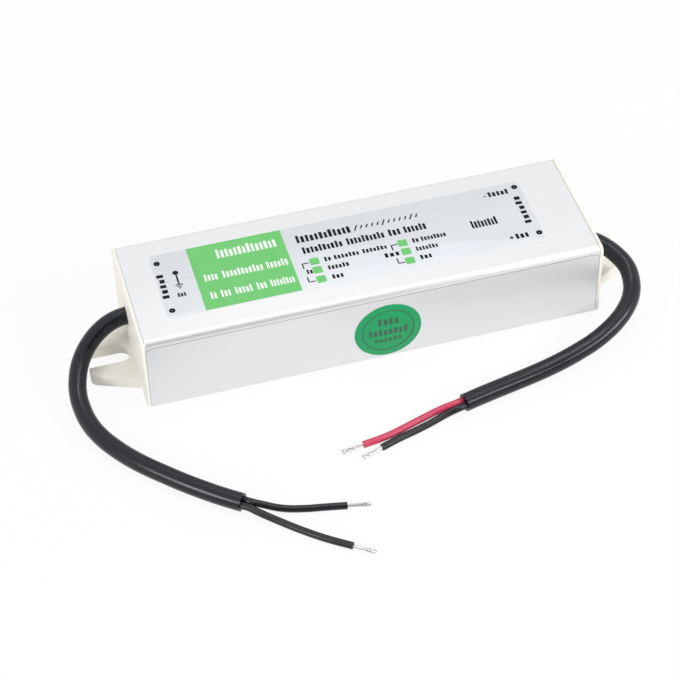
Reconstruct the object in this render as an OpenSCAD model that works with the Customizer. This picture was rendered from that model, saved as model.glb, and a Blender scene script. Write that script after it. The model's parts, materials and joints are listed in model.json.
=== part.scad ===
// Small waterproof LED driver: an extruded aluminium tube closed by two moulded end caps with screw lugs,
// a potted circuit board inside, and a sheathed two-core cable out of each end.
// X runs along the tube from the input end to the output end, Y to the back and Z up.
// The origin is at the middle of the base. All lengths are in millimetres.

/* [Housing] */
// Length of the extruded housing
housing_length = 102.5; // [98:0.5:140]
// Width of the housing
housing_width = 32; // [31:0.5:45]
// Height of the housing
housing_height = 20; // [19.5:0.5:30]
// Wall thickness of the housing
housing_wall = 1.3; // [1:0.1:1.6]
// Radius of the housing's long outer edges
edge_radius = 1.5; // [0.6:0.1:2]
// Radius of the housing's long inner edges
inner_radius = 0.5; // [0.3:0.1:0.8]
// How far the board rails stand out of the side walls
rail_depth = 1.2; // [0.8:0.1:1.4]
// Thickness of a board rail
rail_thickness = 1; // [0.8:0.1:1.2]

/* [End caps] */
// Thickness of the flange that closes the tube
flange_thickness = 0.75; // [0.5:0.05:2]
// How far the plug rim reaches into the tube
plug_depth = 5; // [3:0.5:6]
// Wall thickness of the plug rim
plug_wall = 1.5; // [1:0.1:1.8]
// Gap between the plug rim and the tube
plug_clearance = 0.15; // [0.05:0.05:0.3]
// Thickness of the screw lug
lug_thickness = 3; // [2:0.25:5]
// How far the screw lug reaches past the flange
lug_reach = 10.3; // [8:0.1:14]
// Width of the screw lug at the flange
lug_root_width = 18.8; // [14:0.2:24]
// Width of the screw lug at its tip
lug_tip_width = 10.4; // [9:0.2:13]
// Radius of the lug's tip corners
lug_corner_radius = 1; // [0.5:0.1:1.4]
// Radius of the corners at the slot's mouth
mouth_radius = 0.5; // [0.3:0.1:0.7]
// Width of the screw slot
slot_width = 5.2; // [4.2:0.1:5.6]
// Distance from the flange to the middle of the slot's round end
slot_setback = 3; // [2.9:0.1:4]

/* [Cables] */
// Outer diameter of the sheathed cables
cable_diameter = 4; // [3.4:0.1:4.4]
// Outer diameter of an insulated core
core_diameter = 1.6; // [1.2:0.1:1.6]
// Diameter of the tinned strands at a core's end
strand_diameter = 1; // [0.7:0.1:1.2]
// Length of the tinned strands
strand_length = 5; // [3:0.5:8]
// Distance of the cable hole from the cap's middle
cable_hole_offset = 3; // [0:0.5:4]
// Height of the cable hole
cable_hole_height = 11; // [10:0.5:12]
// Gap between the cable and its hole
cable_hole_clearance = 0.15; // [0.05:0.05:0.3]
// Length of sheath inside the flange
sheath_tail = 2; // [1:0.5:2.5]

/* [Label and sticker] */
// Length of the foil label
label_length = 85.5; // [60:0.5:95]
// Width of the foil label
label_width = 20; // [12:0.5:28]
// Thickness of the foil label
label_thickness = 0.12; // [0.08:0.02:0.3]
// Radius of the label's corners
label_corner_radius = 1; // [0.5:0.1:3]
// Shift of the label along the tube
label_shift_x = -1.9; // [-4:0.1:4]
// Shift of the label across the tube
label_shift_y = 0.3; // [-1:0.1:1]
// Diameter of the round sticker
sticker_diameter = 15.2; // [8:0.2:16]
// Thickness of the round sticker
sticker_thickness = 0.12; // [0.08:0.02:0.3]
// Place of the sticker along the tube
sticker_x = 2.4; // [-30:0.1:30]
// Height of the sticker's middle
sticker_z = 9; // [8.5:0.1:10]

/* [Circuit board] */
// Thickness of the board
board_thickness = 1.6; // [1:0.1:2]
// Gap under the board
board_standoff = 3; // [2.8:0.1:3.2]
// Gap round the board in its rails
board_clearance = 0.15; // [0.05:0.05:0.3]
// Distance from the board's ends to the tube's ends
board_end_gap = 2; // [1.5:0.25:4]
// Thickness of the insulating sheet under the board
sheet_thickness = 0.3; // [0.1:0.05:0.5]
// Gap between the sheet and the walls and plugs
sheet_gap = 0.5; // [0.2:0.1:1]
// Diameter of a component's pin
pin_diameter = 0.8; // [0.5:0.1:0.9]
// Gap between a pin and its hole
pin_clearance = 0.1; // [0.05:0.05:0.15]
// Length of pin below the board
pin_stub = 1.2; // [0.8:0.1:1.5]
// Distance from the board's end to its first lead
pad_inset = 4.75; // [4:0.25:6]
// Distance between the two leads of a cable
pad_pitch = 4; // [3:0.25:4.5]
// Inside bend radius of a lead
lead_bend = 1; // [0.8:0.1:1.5]
// Widest gap between neighbouring components
part_gap = 1.2; // [0.6:0.1:1.4]

/* [Components] */
// Diameter of the fuse
fuse_diameter = 3.6; // [2.5:0.1:4]
// Length of the fuse
fuse_length = 9; // [6:0.5:10]
// Diameter of the varistor disc
varistor_diameter = 8; // [5:0.5:9]
// Thickness of the varistor disc
varistor_thickness = 3.6; // [2.5:0.1:4]
// Thickness of the film capacitor
film_thickness = 5; // [4:0.5:5.5]
// Width of the film capacitor
film_width = 13; // [10:0.5:16]
// Height of the film capacitor
film_height = 11; // [8:0.5:12]
// Distance between the film capacitor's pins
film_pitch = 10; // [7.5:0.5:12]
// Diameter of the chokes
choke_diameter = 8; // [6:0.5:8.5]
// Height of the chokes
choke_height = 9; // [7:0.5:11]
// Diameter of the choke's hub
choke_hub = 4; // [3:0.5:5]
// Thickness of the choke's discs
choke_disc = 1.5; // [1:0.1:2]
// How deep the choke's winding lies inside its discs
choke_margin = 0.3; // [0.1:0.1:0.6]
// Distance between a choke's pins
choke_pitch = 5; // [4:0.5:5]
// Diameter of the bulk capacitor
bulk_diameter = 10; // [8:0.5:11]
// Length of the bulk capacitor
bulk_length = 16; // [15:0.5:17]
// Distance between the bulk capacitor's pins
bulk_pitch = 5; // [4:0.5:6]
// Diameter of the output capacitor
output_capacitor_diameter = 8; // [6:0.5:8.5]
// Height of the output capacitor
output_capacitor_height = 12; // [8:0.5:12.5]
// Distance between the output capacitor's pins
output_capacitor_pitch = 3.5; // [2:0.5:4]
// Depth of the rolled groove round a capacitor's can
groove_depth = 0.4; // [0.2:0.1:0.6]
// Height of the groove above the can's base
groove_height = 2; // [1.5:0.1:3]
// Distance of a component row from the board's middle
row_offset = 6.5; // [6.2:0.1:7]
// Length of the controller chip
chip_length = 9.6; // [8:0.2:10]
// Width of a chip's body
chip_width = 6.4; // [5:0.2:6.6]
// Height of a chip's body
chip_height = 3.2; // [2.5:0.1:4]
// Distance between a chip's two rows of pins
chip_span = 7.62; // [7.2:0.02:8]
// Distance between neighbouring pins of a chip
chip_pitch = 2.54; // [2:0.01:2.54]
// Gap between a chip's body and the board
chip_gap = 0.4; // [0.2:0.1:0.8]
// Diameter of the resistors
resistor_diameter = 2.6; // [2:0.1:3]
// Length of the resistors
resistor_length = 6.5; // [5:0.5:7]
// Gap between a part that lies across the board and the board
axial_gap = 0.3; // [0.1:0.1:0.5]
// How far a lying part's wires run out before they bend down
axial_reach = 1.6; // [1.2:0.1:1.7]
// Diameter of the small ceramic discs
disc_diameter = 6; // [4:0.5:6.5]
// Thickness of the small ceramic discs
disc_thickness = 2.4; // [1.8:0.1:2.8]
// Gap between a standing disc and the board
disc_gap = 1; // [0.5:0.1:1.5]
// Distance between a disc's pins
disc_pitch = 5; // [3:0.5:5]
// Diameter of the output diode
diode_diameter = 5; // [3:0.25:5.5]
// Length of the output diode
diode_length = 9; // [7:0.5:9.5]
// Diameter of the voltage reference
reference_diameter = 4.6; // [4:0.1:4.8]
// Height of the voltage reference
reference_height = 4.6; // [4:0.1:5]
// Depth of the voltage reference behind its flat face
reference_depth = 3.7; // [3:0.1:4]
// Height of the voltage reference's legs
reference_leg = 3; // [2:0.5:5]
// Distance between the voltage reference's legs
reference_pitch = 1.27; // [1.2:0.01:1.4]
// Length of a surface mounted part
flat_part_length = 4.4; // [3:0.2:5]
// Width of a surface mounted part
flat_part_width = 2.6; // [1.6:0.1:3]
// Height of a surface mounted part
flat_part_height = 2; // [1:0.1:2.2]
// Length of a surface mounted part's end tabs
flat_part_tab = 0.6; // [0.3:0.1:1]

/* [Transformer] */
// Length and width of the ferrite core
core_size = 16; // [15:0.5:17]
// Thickness of the ferrite core
core_thickness = 4.8; // [4:0.1:5.2]
// Width of the core's middle leg
core_leg = 4.4; // [4:0.1:4.8]
// Width of the core's outer legs
core_side = 2.2; // [2:0.1:2.4]
// Width of the core's end bars
core_end = 2.6; // [2.2:0.1:2.8]
// Wall thickness of the bobbin's tube
bobbin_wall = 0.6; // [0.4:0.1:0.7]
// Thickness of the bobbin's flanges
bobbin_flange = 0.8; // [0.5:0.1:1]
// Half height of the bobbin's flanges
bobbin_reach = 5.3; // [5:0.1:5.4]
// Thickness of the bobbin's base
bobbin_base = 1.2; // [0.8:0.1:1.4]
// Distance of the bobbin's pins from its edges
bobbin_pin_inset = 1.5; // [1:0.1:2]
// Distance between neighbouring bobbin pins
bobbin_pitch = 3.5; // [3:0.1:4]
// Gap between the bobbin and the core
bobbin_clearance = 0.15; // [0.1:0.05:0.25]
// How deep the winding lies inside the bobbin's flanges
winding_margin = 0.2; // [0.1:0.05:0.4]

/* [Hidden] */
$fn = 48;
TUBE_SIDES = 12;
CORE_SIDES = 8;
CUT = 1;
CORE_EXIT = 2;
ROW_GAPS = 10;

inner_width = housing_width - 2 * housing_wall;
inner_height = housing_height - 2 * housing_wall;
half_length = housing_length / 2;
flange_face = half_length + flange_thickness;

board_length = housing_length - 2 * board_end_gap;
board_width = inner_width - 2 * board_clearance;
board_bottom = housing_wall + board_standoff;
board_top = board_bottom + board_thickness;
rail_bottom = board_bottom - rail_thickness;
slot_top = board_top + board_clearance;
rail_top = slot_top + rail_thickness;

cable_radius = cable_diameter / 2;
core_radius = core_diameter / 2;
sheath_end = half_length - sheath_tail;

// The parts in a row along the board close up where the board is too short for the widest gap
output_width = max(output_capacitor_diameter, choke_diameter);
row_length = 2 * (pad_inset + pad_pitch + core_radius) + fuse_diameter + varistor_thickness + film_thickness
    + choke_diameter + bulk_length + pin_diameter + core_size + diode_diameter + output_width;
gap = min(part_gap, (board_length - row_length) / ROW_GAPS);

// Places along the board, from the input end
line_pad_x = -board_length / 2 + pad_inset;
neutral_pad_x = line_pad_x + pad_pitch;
fuse_x = neutral_pad_x + core_radius + gap + fuse_diameter / 2;
varistor_x = fuse_x + fuse_diameter / 2 + gap + varistor_thickness / 2;
film_x = varistor_x + varistor_thickness / 2 + gap + film_thickness / 2;
filter_x = film_x + film_thickness / 2 + gap + choke_diameter / 2;
bulk_x = filter_x + choke_diameter / 2 + gap + bulk_length / 2;
transformer_x = bulk_x + bulk_length / 2 + pin_diameter + 2 * gap + core_size / 2;
chip_x = bulk_x - bulk_length / 2 + chip_length / 2;
snubber_resistor_x = chip_x + chip_length / 2 + gap + resistor_diameter / 2;
snubber_disc_x = snubber_resistor_x + (resistor_diameter + disc_thickness) / 2 + gap;

// Places along the board, from the output end
positive_pad_x = board_length / 2 - pad_inset;
negative_pad_x = positive_pad_x - pad_pitch;
reference_x = (positive_pad_x + negative_pad_x) / 2;
output_x = negative_pad_x - core_radius - gap - output_width / 2;
diode_x = output_x - output_width / 2 - gap - diode_diameter / 2;

// Places across the board; the side strip lies between the transformer and the rails
side_strip = (core_size / 2 + inner_width / 2 - rail_depth) / 2;

// Heights above the board
axial_z = board_top + axial_gap;
chip_z = board_top + chip_gap;

bobbin_z = board_top + bobbin_base + bobbin_reach;
window_x = core_size / 2 - core_end;
window_y = core_size / 2 - core_side;
bobbin_half = window_x - bobbin_clearance;
bobbin_side = window_y - bobbin_clearance;
tube_width = core_leg + 2 * (bobbin_clearance + bobbin_wall);
tube_height = core_thickness + 2 * (bobbin_clearance + bobbin_wall);

// Pin places of the components
fuse_pins = axial_pins(fuse_x, 0, fuse_length);
varistor_pins = pair_y(varistor_x, 0, disc_pitch);
film_pins = pair_y(film_x, 0, film_pitch);
filter_pins = pair_x(filter_x, row_offset, choke_pitch);
bridge_pins = dip_pins(filter_x, -row_offset, 2);
bulk_pin_x = bulk_x + bulk_length / 2 + gap;
bulk_pins = pair_y(bulk_pin_x, row_offset, bulk_pitch);
chip_pins = dip_pins(chip_x, -row_offset, 4);
snubber_resistor_pins = axial_pins(snubber_resistor_x, -row_offset, resistor_length);
snubber_disc_pins = pair_y(snubber_disc_x, -row_offset, disc_pitch);
bobbin_pins = [for (side = [-1, 1], i = [-1.5 : 1.5])
    [transformer_x + side * (core_size / 2 - bobbin_pin_inset), i * bobbin_pitch]];
isolation_pins = pair_x(transformer_x, side_strip, disc_pitch);
load_pins = pair_x(transformer_x, -side_strip, resistor_length + 2 * axial_reach);
diode_pins = axial_pins(diode_x, 0, diode_length);
reference_pins = [for (i = [-1 : 1]) [reference_x + i * reference_pitch, row_offset]];
output_capacitor_pins = pair_x(output_x, row_offset, output_capacitor_pitch);
output_choke_pins = pair_x(output_x, -row_offset, choke_pitch);
input_lead_pins = [
    [line_pad_x, cable_hole_offset + core_radius],
    [neutral_pad_x, cable_hole_offset - core_radius]
];
output_lead_pins = [
    [positive_pad_x, -cable_hole_offset + core_radius],
    [negative_pad_x, -cable_hole_offset - core_radius]
];
BOARD_PINS = concat(
    fuse_pins, varistor_pins, film_pins, filter_pins, bridge_pins, bulk_pins, chip_pins,
    snubber_resistor_pins, snubber_disc_pins, bobbin_pins, isolation_pins, load_pins,
    diode_pins, reference_pins, output_capacitor_pins, output_choke_pins,
    input_lead_pins, output_lead_pins
);

// Routes of the cables, which lie on the surface that the base stands on
input_route = concat(
    [
        [-sheath_end, cable_hole_offset, cable_hole_height],
        [-flange_face, cable_hole_offset, cable_hole_height]
    ],
    [
        [-55.2, 2.6, 10.6],
        [-58.4, 1.4, 9.6],
        [-61.1, -0.3, 8.2],
        [-63.6, -2.9, 6.4],
        [-65.3, -6.5, 4.8],
        [-66.1, -10.1, 3.5],
        [-66, -13.9, 2.7],
        [-65.2, -18.1, 2.2],
        [-63.6, -22.4, 2],
        [-61.3, -26.5, 2],
        [-58.7, -30.2, 2],
        [-55.8, -33.6, 2],
        [-52.7, -36.8, 2],
        [-49.6, -39.9, 2],
        [-46.3, -42.9, 2],
        [-42.9, -45.8, 2],
        [-39, -48.8, 2]
    ]
);
output_route = concat(
    [
        [sheath_end, -cable_hole_offset, cable_hole_height],
        [flange_face, -cable_hole_offset, cable_hole_height]
    ],
    [
        [54.5, -3.8, 10.6],
        [56.9, -5.7, 9.8],
        [58.9, -8.4, 8.8],
        [60, -11.4, 7.9],
        [59.8, -14.9, 7.1],
        [58.6, -18.3, 6.4],
        [56, -21.8, 5.8],
        [52.9, -24.4, 5.1],
        [49.4, -26.5, 4.5],
        [46, -28, 3.9],
        [42.6, -29.1, 3.4],
        [38.9, -30.1, 2.9],
        [34.7, -31, 2.4],
        [30.1, -31.9, 2.1],
        [25.1, -32.9, 2],
        [19.4, -34.1, 2],
        [13.8, -35.4, 2]
    ]
);
line_route = core_route(input_route, 1, [
    [-35.5, -50.1, 1.8],
    [-31.4, -52, 1.2],
    [-27, -53.1, 0.8],
    [-22.5, -54, 0.8],
    [-18.1, -54.9, 0.8]
]);
neutral_route = core_route(input_route, -1, [
    [-36.7, -51.8, 1.8],
    [-32.6, -55.3, 1.1],
    [-28.6, -58.8, 0.8],
    [-24.4, -62.3, 0.8],
    [-19.9, -65.5, 0.8]
]);
positive_route = core_route(output_route, -1, [
    [8.9, -35.2, 1.5],
    [4.2, -36.2, 1],
    [-0.5, -37.6, 0.8],
    [-5.1, -38.9, 0.8],
    [-10.2, -39.7, 0.8]
]);
negative_route = core_route(output_route, 1, [
    [9.8, -36.9, 1.6],
    [5.7, -38, 1.1],
    [1.6, -39.1, 0.8],
    [-2.4, -40.2, 0.8],
    [-6.6, -41.6, 0.8]
]);

function unit(v) = v / norm(v);

// Two pins side by side across or along the board
function pair_y(x, y, pitch) = [[x, y - pitch / 2], [x, y + pitch / 2]];
function pair_x(x, y, pitch) = [[x - pitch / 2, y], [x + pitch / 2, y]];

// The two pins of a part that lies across the board
function axial_pins(x, y, length) = pair_y(x, y, length + 2 * axial_reach);

// The pins of a chip with two rows along the board
function dip_pins(x, y, per_row) = [for (i = [0 : per_row - 1], side = [-1, 1])
    [x + (i - (per_row - 1) / 2) * chip_pitch, y + side * chip_span / 2]];

// Direction of a route at one of its points
function heading(route, i) = unit(route[min(i + 1, len(route) - 1)] - route[max(i - 1, 0)]);

// Corners of a round tube's ring, with one corner straight below its middle
function ring(middle, along, radius, sides) =
    let (across = unit(cross([0, 0, 1], along)), up = cross(along, across))
    [for (k = [0 : sides - 1])
        middle + radius * (cos(360 * k / sides) * across + sin(360 * k / sides) * up)];

// A core leaves the sheath's cut end beside the other core, and then follows its own points
function core_route(sheath, side, points) =
    let (
        last = len(sheath) - 1,
        along = heading(sheath, last),
        start = sheath[last] + side * core_radius * unit(cross([0, 0, 1], along))
    )
    concat([start, start + CORE_EXIT * along], points);

// The strands go straight on from a core's end
function strand_route(core) =
    let (last = len(core) - 1)
    [core[last], core[last] + strand_length * heading(core, last)];

// Round tube swept along a route
module tube(route, diameter, sides) {
    count = len(route);
    polyhedron(
        points = [for (i = [0 : count - 1]) each ring(route[i], heading(route, i), diameter / 2, sides)],
        faces = concat(
            [[for (k = [0 : sides - 1]) k]],
            [[for (k = [sides - 1 : -1 : 0]) (count - 1) * sides + k]],
            [for (i = [0 : count - 2], k = [0 : sides - 1]) [
                i * sides + k,
                (i + 1) * sides + k,
                (i + 1) * sides + (k + 1) % sides,
                i * sides + (k + 1) % sides
            ]]
        )
    );
}

// Sweeps a flat shape drawn in Y and Z along X
module along_x(length) {
    rotate([90, 0, 90])
        linear_extrude(length)
            children();
}

module rounded_rectangle(width, height, radius) {
    square([width - 2 * radius, height], center = true);
    square([width, height - 2 * radius], center = true);
    for (sx = [-1, 1], sy = [-1, 1])
        translate([sx * (width / 2 - radius), sy * (height / 2 - radius)])
            circle(radius);
}

// What rounding a corner takes away, between the edges towards two neighbouring points
module corner_waste(corner, before, after, radius) {
    u = unit(before - corner);
    v = unit(after - corner);
    half_angle = acos(u * v) / 2;
    reach = radius / tan(half_angle);
    middle = corner + unit(u + v) * radius / sin(half_angle);
    difference() {
        polygon([corner, corner + reach * u, middle, corner + reach * v]);
        translate(middle)
            circle(radius);
    }
}

// The rails' section on both side walls, with a slot for the board between them
module rail_profile() {
    for (side = [-1, 1], z = [rail_bottom, slot_top])
        translate([side * (inner_width - rail_depth) / 2, z + rail_thickness / 2])
            square([rail_depth, rail_thickness], center = true);
}

module cavity_profile() {
    difference() {
        translate([0, housing_height / 2])
            rounded_rectangle(inner_width, inner_height, inner_radius);
        rail_profile();
    }
}

module outer_profile() {
    translate([0, housing_height / 2])
        rounded_rectangle(housing_width, housing_height, edge_radius);
}

module housing() {
    color("gainsboro")
        translate([-half_length, 0, 0])
            along_x(housing_length)
                difference() {
                    outer_profile();
                    cavity_profile();
                }
}

// The plug's section: a rim that is cut away where the rails and the board pass
module plug_profile(clearance) {
    difference() {
        translate([0, housing_height / 2])
            rounded_rectangle(inner_width - 2 * clearance, inner_height - 2 * clearance, inner_radius);
        translate([0, housing_height / 2])
            square([inner_width - 2 * plug_wall, inner_height - 2 * plug_wall], center = true);
        translate([0, (rail_bottom + rail_top) / 2])
            square([inner_width + CUT, rail_top - rail_bottom + 2 * clearance], center = true);
    }
}

module plug(clearance) {
    translate([half_length - plug_depth, 0, 0])
        along_x(plug_depth)
            plug_profile(clearance);
}

module lug_outline() {
    root = lug_root_width / 2;
    tip = lug_tip_width / 2;
    mouth = slot_width / 2;
    difference() {
        polygon([
            [-flange_thickness, -root], [0, -root], [lug_reach, -tip],
            [lug_reach, tip], [0, root], [-flange_thickness, root]
        ]);
        translate([slot_setback, 0])
            circle(mouth);
        translate([slot_setback, -mouth])
            square([lug_reach, slot_width]);
        for (side = [-1, 1]) {
            corner_waste([lug_reach, side * tip], [0, side * root], [lug_reach, 0], lug_corner_radius);
            corner_waste([lug_reach, side * mouth], [0, side * mouth], [lug_reach, side * tip], mouth_radius);
        }
    }
}

module end_cap() {
    difference() {
        union() {
            translate([half_length, 0, 0])
                along_x(flange_thickness)
                    outer_profile();
            plug(plug_clearance);
            translate([flange_face, 0, 0])
                linear_extrude(lug_thickness)
                    lug_outline();
        }
        translate([half_length - CUT, -cable_hole_offset, cable_hole_height])
            rotate([0, 90, 0])
                cylinder(r = cable_radius + cable_hole_clearance, h = flange_thickness + 2 * CUT);
    }
}

module output_end_cap() {
    color("ivory")
        end_cap();
}

// The same cap, turned round
module input_end_cap() {
    color("ivory")
        rotate([0, 0, 180])
            end_cap();
}

module rating_label() {
    color("lightsteelblue")
        translate([label_shift_x, label_shift_y, housing_height])
            linear_extrude(label_thickness)
                rounded_rectangle(label_length, label_width, label_corner_radius);
}

module inspection_sticker() {
    color("mediumseagreen")
        translate([sticker_x, -housing_width / 2, sticker_z])
            rotate([90, 0, 0])
                cylinder(d = sticker_diameter, h = sticker_thickness);
}

module input_cable() {
    color("darkslategray")
        tube(input_route, cable_diameter, TUBE_SIDES);
}

module output_cable() {
    color("darkslategray")
        tube(output_route, cable_diameter, TUBE_SIDES);
}

module input_core_line() {
    color("black")
        tube(line_route, core_diameter, CORE_SIDES);
}

module input_core_neutral() {
    color("black")
        tube(neutral_route, core_diameter, CORE_SIDES);
}

module output_core_positive() {
    color("crimson")
        tube(positive_route, core_diameter, CORE_SIDES);
}

module output_core_negative() {
    color("black")
        tube(negative_route, core_diameter, CORE_SIDES);
}

module strands(core) {
    color("silver")
        tube(strand_route(core), strand_diameter, CORE_SIDES);
}

// The board without its holes
module board_blank() {
    translate([-board_length / 2, -board_width / 2, board_bottom])
        cube([board_length, board_width, board_thickness]);
}

module circuit_board() {
    color("darkgreen")
        difference() {
            board_blank();
            for (p = BOARD_PINS)
                translate([p.x, p.y, board_bottom - CUT])
                    cylinder(d = pin_diameter + 2 * pin_clearance, h = board_thickness + 2 * CUT);
        }
}

// The sheet on the tube's floor, reaching below the floor where it is used as a cut
module sheet_blank(below) {
    sheet_length = housing_length - 2 * (plug_depth + sheet_gap);
    sheet_width = inner_width - 2 * (inner_radius + sheet_gap);
    translate([-sheet_length / 2, -sheet_width / 2, housing_wall - below])
        cube([sheet_length, sheet_width, sheet_thickness + below]);
}

module insulating_sheet() {
    color("white")
        sheet_blank(0);
}

// Straight pins from below the board up to a height
module pins(places, top) {
    bottom = board_bottom - pin_stub;
    for (p = places)
        translate([p.x, p.y, bottom])
            cylinder(d = pin_diameter, h = top - bottom);
}

// A core inside the driver: out of the sheath, round a bend and down into the board
module lead(pad, end_side) {
    start_x = end_side * sheath_end;
    bend = lead_bend + core_radius;
    run = abs(start_x - pad.x) - bend;
    translate([start_x, pad.y, cable_hole_height])
        rotate([0, -90 * end_side, 0])
            cylinder(d = core_diameter, h = run);
    translate([pad.x + end_side * bend, pad.y, cable_hole_height - bend])
        rotate([90, 0, 0])
            rotate(end_side > 0 ? 90 : 0)
                rotate_extrude(angle = 90)
                    translate([bend, 0])
                        circle(core_radius);
    translate([pad.x, pad.y, board_top])
        cylinder(d = core_diameter, h = cable_hole_height - bend - board_top);
    pins([pad], board_top);
}

module line_lead() {
    color("black")
        lead(input_lead_pins[0], -1);
}

module neutral_lead() {
    color("black")
        lead(input_lead_pins[1], -1);
}

module positive_lead() {
    color("crimson")
        lead(output_lead_pins[0], 1);
}

module negative_lead() {
    color("black")
        lead(output_lead_pins[1], 1);
}

// A round part that lies across the board on its two bent wires, or along it when turned
module axial_part(x, y, diameter, length, turn = 0) {
    height = axial_z + diameter / 2;
    span = length + 2 * axial_reach;
    places = axial_pins(0, 0, length);
    translate([x, y, 0])
        rotate([0, 0, turn]) {
            translate([0, length / 2, height])
                rotate([90, 0, 0])
                    cylinder(d = diameter, h = length);
            translate([0, span / 2, height])
                rotate([90, 0, 0])
                    cylinder(d = pin_diameter, h = span);
            for (p = places)
                translate([p.x, p.y, height])
                    sphere(d = pin_diameter);
            pins(places, height);
        }
}

// A disc with a round rim that stands on edge, with its axis along X before it is turned
module standing_disc(diameter, thickness) {
    rim = thickness / 2;
    rotate([0, 90, 0])
        rotate_extrude() {
            translate([0, -rim])
                square([diameter / 2 - rim, thickness]);
            intersection() {
                translate([diameter / 2 - rim, 0])
                    circle(rim);
                translate([0, -rim])
                    square([diameter / 2, thickness]);
            }
        }
}

module disc_across(x, y, diameter, thickness, places) {
    height = board_top + disc_gap + diameter / 2;
    translate([x, y, height])
        standing_disc(diameter, thickness);
    pins(places, height);
}

module fuse() {
    color("green")
        axial_part(fuse_x, 0, fuse_diameter, fuse_length);
}

module varistor() {
    color("royalblue")
        disc_across(varistor_x, 0, varistor_diameter, varistor_thickness, varistor_pins);
}

module film_capacitor() {
    color("gold") {
        translate([film_x - film_thickness / 2, -film_width / 2, board_top])
            cube([film_thickness, film_width, film_height]);
        pins(film_pins, board_top + CUT);
    }
}

// A ferrite spool that stands on the board
module choke_core(x, y, places) {
    translate([x, y, board_top]) {
        cylinder(d = choke_diameter, h = choke_disc);
        cylinder(d = choke_hub, h = choke_height);
        translate([0, 0, choke_height - choke_disc])
            cylinder(d = choke_diameter, h = choke_disc);
    }
    pins(places, board_top + choke_disc / 2);
}

module choke_winding(x, y) {
    translate([x, y, board_top + choke_disc])
        linear_extrude(choke_height - 2 * choke_disc)
            difference() {
                circle(d = choke_diameter - 2 * choke_margin);
                circle(d = choke_hub);
            }
}

module filter_choke_core() {
    color("dimgray")
        choke_core(filter_x, row_offset, filter_pins);
}

module filter_choke_winding() {
    color("sienna")
        choke_winding(filter_x, row_offset);
}

// A block on two rows of pins that run along the board
module chip(x, y, length, places) {
    translate([x - length / 2, y - chip_width / 2, chip_z])
        cube([length, chip_width, chip_height]);
    for (p = places)
        translate([p.x - pin_diameter / 2, min(p.y, y), chip_z + chip_height / 2])
            cube([pin_diameter, abs(p.y - y), pin_diameter / 2]);
    pins(places, chip_z + (chip_height + pin_diameter) / 2);
}

module bridge_rectifier() {
    color("dimgray")
        chip(filter_x, -row_offset, 3 * chip_pitch, bridge_pins);
}

module controller_chip() {
    color("dimgray")
        chip(chip_x, -row_offset, chip_length, chip_pins);
}

// A capacitor's can, standing on its groove end
module can(diameter, height) {
    difference() {
        cylinder(d = diameter, h = height);
        translate([0, 0, groove_height])
            rotate_extrude()
                translate([diameter / 2, 0])
                    circle(groove_depth);
    }
}

module bulk_capacitor() {
    height = axial_z + bulk_diameter / 2;
    color("steelblue") {
        translate([bulk_x + bulk_length / 2, row_offset, height])
            rotate([0, -90, 0])
                can(bulk_diameter, bulk_length);
        for (p = bulk_pins) {
            translate([bulk_x + bulk_length / 2 - CUT, p.y, height])
                rotate([0, 90, 0])
                    cylinder(d = pin_diameter, h = bulk_pin_x - bulk_x - bulk_length / 2 + CUT);
            translate([p.x, p.y, height])
                sphere(d = pin_diameter);
        }
        pins(bulk_pins, height);
    }
}

module output_capacitor() {
    color("steelblue") {
        translate([output_x, row_offset, board_top])
            can(output_capacitor_diameter, output_capacitor_height);
        pins(output_capacitor_pins, board_top + CUT);
    }
}

module snubber_resistor() {
    color("tan")
        axial_part(snubber_resistor_x, -row_offset, resistor_diameter, resistor_length);
}

module snubber_capacitor() {
    color("royalblue")
        disc_across(snubber_disc_x, -row_offset, disc_diameter, disc_thickness, snubber_disc_pins);
}

// A block under the board, with tabs at both ends at some places across it
module flat_part(x, y, tab_places, tab_width) {
    translate([x, y, board_bottom]) {
        translate([-flat_part_length / 2, -flat_part_width / 2, -flat_part_height])
            cube([flat_part_length, flat_part_width, flat_part_height]);
        for (place = tab_places)
            translate([0, place, -flat_part_height / 4])
                cube([flat_part_length + 2 * flat_part_tab, tab_width, flat_part_height / 2], center = true);
    }
}

module snubber_diode() {
    color("dimgray")
        flat_part(transformer_x, -row_offset / 2, [0], flat_part_width / 2);
}

module sense_resistor() {
    color("black")
        flat_part(transformer_x, row_offset / 2, [0], flat_part_width / 2);
}

module transformer_bobbin() {
    color("dimgray") {
        difference() {
            union() {
                translate([transformer_x - core_size / 2, -core_size / 2, board_top])
                    cube([core_size, core_size, bobbin_base]);
                translate([transformer_x - bobbin_half, -tube_width / 2, bobbin_z - tube_height / 2])
                    cube([2 * bobbin_half, tube_width, tube_height]);
                for (x = [-bobbin_half, bobbin_half - bobbin_flange])
                    translate([transformer_x + x, -bobbin_side, bobbin_z - bobbin_reach])
                        cube([bobbin_flange, 2 * bobbin_side, 2 * bobbin_reach]);
            }
            translate([transformer_x, 0, bobbin_z])
                cube([core_size, core_leg + 2 * bobbin_clearance, core_thickness + 2 * bobbin_clearance],
                    center = true);
        }
        pins(bobbin_pins, board_top + bobbin_base / 2);
    }
}

module transformer_winding() {
    width = 2 * (bobbin_side - winding_margin);
    height = 2 * (bobbin_reach - winding_margin);
    color("khaki")
        translate([transformer_x - bobbin_half + bobbin_flange, 0, bobbin_z])
            along_x(2 * (bobbin_half - bobbin_flange))
                difference() {
                    square([width, height], center = true);
                    square([tube_width, tube_height], center = true);
                }
}

module transformer_core() {
    window = (core_size - core_leg) / 2 - core_side;
    color("dimgray")
        translate([transformer_x, 0, bobbin_z - core_thickness / 2])
            linear_extrude(core_thickness)
                difference() {
                    square(core_size, center = true);
                    for (side = [-1, 1])
                        translate([0, side * (core_leg + window) / 2])
                            square([2 * window_x, window], center = true);
                }
}

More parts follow.
